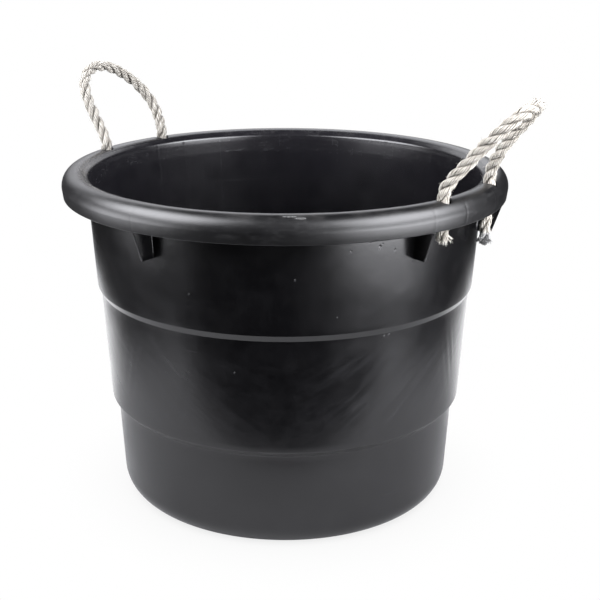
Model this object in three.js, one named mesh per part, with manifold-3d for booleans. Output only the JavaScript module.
// Mortar mixing tub: a black moulded bucket with two stepped-in bands, a rolled
// rim whose skirt hangs down as an open channel, gusset plates under the rim, and
// two laid-rope handles that pass through holes in the rim and end in knots.
// Millimetres, +Z up. Origin: centre of the flat underside of the base.
// The handles stand at +X (right) and -X (left); front is -Y and rear is +Y.
import * as THREE from 'three';
import { mergeVertices } from 'three/addons/utils/BufferGeometryUtils.js';
import Module from 'manifold-3d';

const { degToRad } = THREE.MathUtils;

// ---------------------------------------------------------------- tub dimensions
const HEIGHT = 424;            // underside of base to crest of rim
const TUB_SEGMENTS = 72;       // facets round the tub

const RIM_R = 280;             // outermost radius of the rim
const RIM_R_Z = HEIGHT - 18.5; // height of the widest point of the rim
const CREST_R = 264.7;         // radius of the rim's crest
const LIP_R = 251.7;           // where the rim turns down into the tub
const LIP_Z = HEIGHT - 5;
const SKIRT_R = 278.5;         // outside of the skirt at its lower edge
const SKIRT_Z = HEIGHT - 31;   // lower edge of the skirt
const RIM_T = 3.6;             // rim and skirt thickness

const WALL_T = 4;
const FLOOR_T = 5;
const WALL_TOP_R = 248.8;      // wall outside, just under the rim
const WALL_TOP_Z = HEIGHT - 28;
const BASE_WALL_R = 216.9;     // wall outside above the base corner
const BASE_FLAT_R = 196.1;     // edge of the flat underside
const BASE_CORNER_H = 26.9;    // height of the rounded base corner

// Steps in the wall: [r, z] of the outside edges, and how much higher they lie inside
const UPPER_STEP = { top: [241.6, 278.5], bottom: [237.5, 270.8], insideRise: 2.6 };
const LOWER_STEP = { top: [229.5, 130.5], bottom: [221.9, 121.9], insideRise: 3 };

// ------------------------------------------------- plates and holes in the rim
// Angles are in degrees about +Z from +X
const GUSSETS_DEG = [18, -18, 90, -91, 162, 198];
const GUSSET_T = 3;
const GUSSET_BOTTOM_Z = HEIGHT - 67.5;
const GUSSET_BOTTOM_R = 264.6;

const RIB_HALF_DEG = 7.4;      // from a handle's middle to the short rib on either side
const RIBS_DEG = [RIB_HALF_DEG, -RIB_HALF_DEG, 180 + RIB_HALF_DEG, 180 - RIB_HALF_DEG];
const RIB_T = 2.5;
const RIB_BOTTOM_Z = SKIRT_Z + 6;

const HOLE_HALF_DEG = 12.25;   // half the angle between a handle's two holes
const HOLES_DEG = [-HOLE_HALF_DEG, HOLE_HALF_DEG, 180 - HOLE_HALF_DEG, 180 + HOLE_HALF_DEG];
const HOLE_D = 20.5;
const HOLE_R = 262.4;          // pitch radius of the rope holes
const HOLE_SEGMENTS = 24;
const DRILL_LENGTH = 24;
const DRILL_MID_Z = HEIGHT + 1;

// --------------------------------------------------------------- rope dimensions
const ROPE_D = 14;
const ROPE_R = 264.2;          // radius at which the rope stands in its hole
const ROPE_X = ROPE_R * Math.cos(degToRad(HOLE_HALF_DEG));
const ROPE_Y = ROPE_R * Math.sin(degToRad(HOLE_HALF_DEG));
const ROPE_SIDES = 10;
const LOOP_STEPS = 44;
const PIVOT_UP = 8;            // the loop's ends stand this far above the crest
const PIVOT_BALL_R = ROPE_D / 2 - 0.05;

const KNOT_HALF = { radial: 11.4, along: 16, up: 10.3 };
const KNOT_Z = HEIGHT - 20.5;
const KNOT_IN = 1.3;           // the knot sits this much nearer the wall than the rope
const TAIL_D = 12.5;
const TAIL_STEPS = 10;
const LEG_TOP_Z = HEIGHT - 0.4;
const LEG_MID_Z = HEIGHT - 8;
const TAIL_BEND_Z = KNOT_Z - 16;
const TAIL_BEND_SHARE = 0.6;   // share of the drift reached at the bend

// Loop centrelines at rest, from front to rear on the right and the left handle:
// [outward from the hole, along the rim anticlockwise seen from above, up from the crest]
const RIGHT_LOOP = [
  [0, -56.06, PIVOT_UP], [9.6, -55.8, 23.8], [25.8, -53.9, 42.4], [41.7, -51.8, 61.2],
  [59.9, -50.9, 79.1], [76.0, -43.6, 95.9], [81.7, -21.9, 104.5], [78.5, 2.5, 104.9],
  [68.1, 23.0, 96.8], [52.5, 33.1, 80.8], [35.2, 37.8, 62.6], [20.0, 43.2, 43.9],
  [7.2, 51.2, 24.7], [0, 56.06, PIVOT_UP],
];
const LEFT_LOOP = [
  [0, 56.06, PIVOT_UP], [9.6, 53.3, 22.0], [23.0, 51.9, 40.4], [35.0, 50.9, 59.8],
  [46.0, 45.6, 79.0], [54.3, 31.0, 94.1], [57.9, 9.7, 100.8], [56.5, -12.7, 98.2],
  [51.3, -32.7, 88.5], [43.7, -49.2, 74.8], [33.9, -61.4, 58.2], [22.1, -66.4, 39.5],
  [9.2, -62.3, 21.2], [0, -56.06, PIVOT_UP],
];

// side: +1 for the handle on +X, -1 for the one on -X.
// Tails: how far below the crest each rope end reaches, and its drift towards +Y
const HANDLES = [
  {
    name: 'right', side: 1, stations: RIGHT_LOOP,
    front: { end: 54, drift: 4 }, rear: { end: 75, drift: -6 },
  },
  {
    name: 'left', side: -1, stations: LEFT_LOOP,
    front: { end: 62, drift: -3 }, rear: { end: 66, drift: 4 },
  },
];

// --------------------------------------------------------------------- materials
const blackPlastic = () =>
  new THREE.MeshStandardMaterial({ color: 0x17181a, roughness: 0.42, metalness: 0 });
const ropeFibre = () =>
  new THREE.MeshStandardMaterial({ color: 0xbdb6ad, roughness: 0.85, metalness: 0 });

// ----------------------------------------------------------------------- helpers
const wasm = await Module();
wasm.setup();

// Closed three.js geometry -> solid, turning the faces outwards if needed
function solid(geometry) {
  const bare = geometry.clone();
  bare.deleteAttribute('normal');
  bare.deleteAttribute('uv');
  const merged = mergeVertices(bare, 1e-4);
  const positions = merged.attributes.position;
  const corners = merged.index.array;
  const vertex = (i) => new THREE.Vector3().fromBufferAttribute(positions, i);

  const triangles = [];
  let volume = 0;
  for (let i = 0; i < corners.length; i += 3) {
    const [a, b, c] = corners.slice(i, i + 3);
    // Merging collapses the triangles at poles and on the lathe's axis
    if (a === b || b === c || a === c) continue;
    triangles.push(a, b, c);
    volume += vertex(a).dot(vertex(b).cross(vertex(c))) / 6;
  }
  if (volume < 0) {
    for (let i = 0; i < triangles.length; i += 3) {
      [triangles[i], triangles[i + 1]] = [triangles[i + 1], triangles[i]];
    }
  }
  return new wasm.Manifold(new wasm.Mesh({
    numProp: 3,
    vertProperties: new Float32Array(positions.array),
    triVerts: new Uint32Array(triangles),
  }));
}

function piece(name, manifold, material) {
  const { vertProperties, triVerts } = manifold.getMesh();
  const geometry = new THREE.BufferGeometry();
  geometry.setAttribute('position', new THREE.Float32BufferAttribute(vertProperties, 3));
  geometry.setIndex(new THREE.Uint32BufferAttribute(triVerts, 1));
  geometry.computeVertexNormals();
  const mesh = new THREE.Mesh(geometry, material);
  mesh.name = name;
  return mesh;
}

const toVectors = (points) => points.map(([x, y]) => new THREE.Vector2(x, y));

// Elliptical arc in the [r, z] plane about (r, z), with half axes halfR and halfZ
function arc({ r, z, halfR, halfZ, fromDeg, toDeg, steps }) {
  const points = [];
  for (let i = 0; i <= steps; i++) {
    const angle = degToRad(fromDeg + ((toDeg - fromDeg) * i) / steps);
    points.push([r + halfR * Math.cos(angle), z + halfZ * Math.sin(angle)]);
  }
  return points;
}

// ----------------------------------------------------------------------- the tub
// Quarter of the rim from the crest outwards, set in from its outer face
const rimArc = (inset, angles) => arc({
  r: CREST_R, z: RIM_R_Z,
  halfR: RIM_R - inset - CREST_R, halfZ: HEIGHT - inset - RIM_R_Z,
  ...angles,
});

// Rounded base corner, set in by the given wall and floor thickness
const baseArc = (wall, floor, angles) => arc({
  r: BASE_FLAT_R, z: BASE_CORNER_H,
  halfR: BASE_WALL_R - wall - BASE_FLAT_R, halfZ: BASE_CORNER_H - floor,
  ...angles,
});

// Inside edges of a wall step, top one first
const insideStep = ({ top, bottom, insideRise }) =>
  [top, bottom].map(([r, z]) => [r - WALL_T, z + insideRise]);

// Section of the shell as [r, z]: up the outside, round the rim, down the inside
function shellSection() {
  return [
    [0, 0],
    ...baseArc(0, 0, { fromDeg: -90, toDeg: 0, steps: 5 }),
    LOWER_STEP.bottom, LOWER_STEP.top,
    UPPER_STEP.bottom, UPPER_STEP.top,
    [WALL_TOP_R, WALL_TOP_Z],
    // Underside of the rim and inner face of the skirt
    [249.4, HEIGHT - 14], [251.2, HEIGHT - 8], [255.4, HEIGHT - 4.7],
    ...rimArc(RIM_T, { fromDeg: 90, toDeg: 0, steps: 4 }),
    [SKIRT_R - RIM_T, SKIRT_Z],
    // Outer face of the skirt and top of the rim
    [SKIRT_R, SKIRT_Z],
    ...rimArc(0, { fromDeg: 0, toDeg: 90, steps: 6 }),
    ...arc({
      r: CREST_R, z: LIP_Z, halfR: CREST_R - LIP_R, halfZ: HEIGHT - LIP_Z,
      fromDeg: 120, toDeg: 180, steps: 2,
    }),
    // Inside of the wall
    [248.3, LIP_Z - 5], [246.2, LIP_Z - 12],
    [WALL_TOP_R - WALL_T, WALL_TOP_Z],
    ...insideStep(UPPER_STEP),
    ...insideStep(LOWER_STEP),
    ...baseArc(WALL_T, FLOOR_T, { fromDeg: 0, toDeg: -90, steps: 4 }),
    [0, FLOOR_T],
  ];
}

function turnedShell() {
  const lathe = new THREE.LatheGeometry(toVectors(shellSection()), TUB_SEGMENTS);
  lathe.rotateX(Math.PI / 2);
  return solid(lathe);
}

// Plate outlines as [r, z]; their edges are sunk into the wall, skirt and rim
const PLATE_TOP = [
  [RIM_R - 1.6, RIM_R_Z],
  [CREST_R + 9.5, HEIGHT - 6.2],
  [CREST_R, HEIGHT - 1.8],
  [252.5, HEIGHT - 6.5],
];
// Gusset: wall to skirt, tapering in below the skirt
const GUSSET_OUTLINE = [
  [WALL_TOP_R - 4.8, GUSSET_BOTTOM_Z],
  [GUSSET_BOTTOM_R, GUSSET_BOTTOM_Z],
  [SKIRT_R - 1.4, SKIRT_Z + 1.5],
  ...PLATE_TOP,
  [WALL_TOP_R - 1.6, WALL_TOP_Z],
];
// Short rib inside the channel, ending above the skirt's lower edge
const RIB_OUTLINE = [
  [WALL_TOP_R - 1.8, RIB_BOTTOM_Z],
  [SKIRT_R - 1.6, RIB_BOTTOM_Z],
  ...PLATE_TOP,
  [WALL_TOP_R - 1.2, HEIGHT - 20],
];

// Upright plate standing radially at the given angle
function radialPlate(outline, thickness, deg) {
  const shape = new THREE.Shape(toVectors(outline));
  const plate = new THREE.ExtrudeGeometry(shape, { depth: thickness, bevelEnabled: false });
  plate.translate(0, 0, -thickness / 2);
  plate.rotateX(Math.PI / 2);
  plate.rotateZ(degToRad(deg));
  return solid(plate);
}

// Cutter for a rope hole, through the top of the rim only
function ropeHole(deg) {
  const angle = degToRad(deg);
  const drill = new THREE.CylinderGeometry(HOLE_D / 2, HOLE_D / 2, DRILL_LENGTH, HOLE_SEGMENTS);
  drill.rotateX(Math.PI / 2);
  drill.translate(HOLE_R * Math.cos(angle), HOLE_R * Math.sin(angle), DRILL_MID_Z);
  return solid(drill);
}

function tubShell() {
  let body = turnedShell();
  for (const deg of GUSSETS_DEG) body = body.add(radialPlate(GUSSET_OUTLINE, GUSSET_T, deg));
  for (const deg of RIBS_DEG) body = body.add(radialPlate(RIB_OUTLINE, RIB_T, deg));
  for (const deg of HOLES_DEG) body = body.subtract(ropeHole(deg));
  return body;
}

// --------------------------------------------------------------------- the ropes
// Round bar swept along a smooth curve through the points
function sweptRope(points, diameter, steps) {
  const corners = [];
  for (let i = 0; i < ROPE_SIDES; i++) {
    const angle = (2 * Math.PI * i) / ROPE_SIDES;
    corners.push([(diameter / 2) * Math.cos(angle), (diameter / 2) * Math.sin(angle)]);
  }
  const section = new THREE.Shape(toVectors(corners));
  section.closePath();
  return solid(new THREE.ExtrudeGeometry(section, {
    steps,
    curveSegments: 1,
    bevelEnabled: false,
    extrudePath: new THREE.CatmullRomCurve3(points, false, 'centripetal'),
  }));
}

// Loop above the rim, with a ball rounding off each end
function ropeLoop(stations, side) {
  const points = stations.map(([outward, along, up]) =>
    new THREE.Vector3(side * (ROPE_X + outward), side * along, HEIGHT + up));
  let rope = sweptRope(points, ROPE_D, LOOP_STEPS);
  for (const y of [-ROPE_Y, ROPE_Y]) {
    const ball = new THREE.SphereGeometry(PIVOT_BALL_R, 12, 8);
    ball.translate(side * ROPE_X, y, HEIGHT + PIVOT_UP);
    rope = rope.add(solid(ball));
  }
  return rope;
}

// Stopper knot in the rim channel, around the rope at (x, y)
function stopperKnot(x, y) {
  const angle = Math.atan2(y, x);
  const knot = new THREE.SphereGeometry(1, 16, 10);
  knot.rotateX(Math.PI / 2);
  knot.scale(KNOT_HALF.radial, KNOT_HALF.along, KNOT_HALF.up);
  knot.rotateZ(angle);
  knot.translate(x - KNOT_IN * Math.cos(angle), y - KNOT_IN * Math.sin(angle), KNOT_Z);
  return solid(knot);
}

// Leg in the hole, stopper knot, and tail below it
function ropeEnd(side, y, { end, drift }) {
  const x = side * ROPE_X;
  const leg = sweptRope([
    new THREE.Vector3(x, y, LEG_TOP_Z),
    new THREE.Vector3(x, y, LEG_MID_Z),
    new THREE.Vector3(x, y, KNOT_Z),
    new THREE.Vector3(x, y + drift * TAIL_BEND_SHARE, TAIL_BEND_Z),
    new THREE.Vector3(x, y + drift, HEIGHT - end),
  ], TAIL_D, TAIL_STEPS);
  return leg.add(stopperKnot(x, y));
}

function handle({ name, side, stations, front, rear }) {
  const group = new THREE.Group();
  group.add(
    piece(`rope_${name}_loop`, ropeLoop(stations, side), ropeFibre()),
    piece(`rope_${name}_end_front`, ropeEnd(side, -ROPE_Y, front), ropeFibre()),
    piece(`rope_${name}_end_rear`, ropeEnd(side, ROPE_Y, rear), ropeFibre()),
  );
  return group;
}

// ---------------------------------------------------------------------- assembly
const tub = new THREE.Group();
tub.add(piece('tub_shell', tubShell(), blackPlastic()));
for (const spec of HANDLES) tub.add(handle(spec));

export default tub;
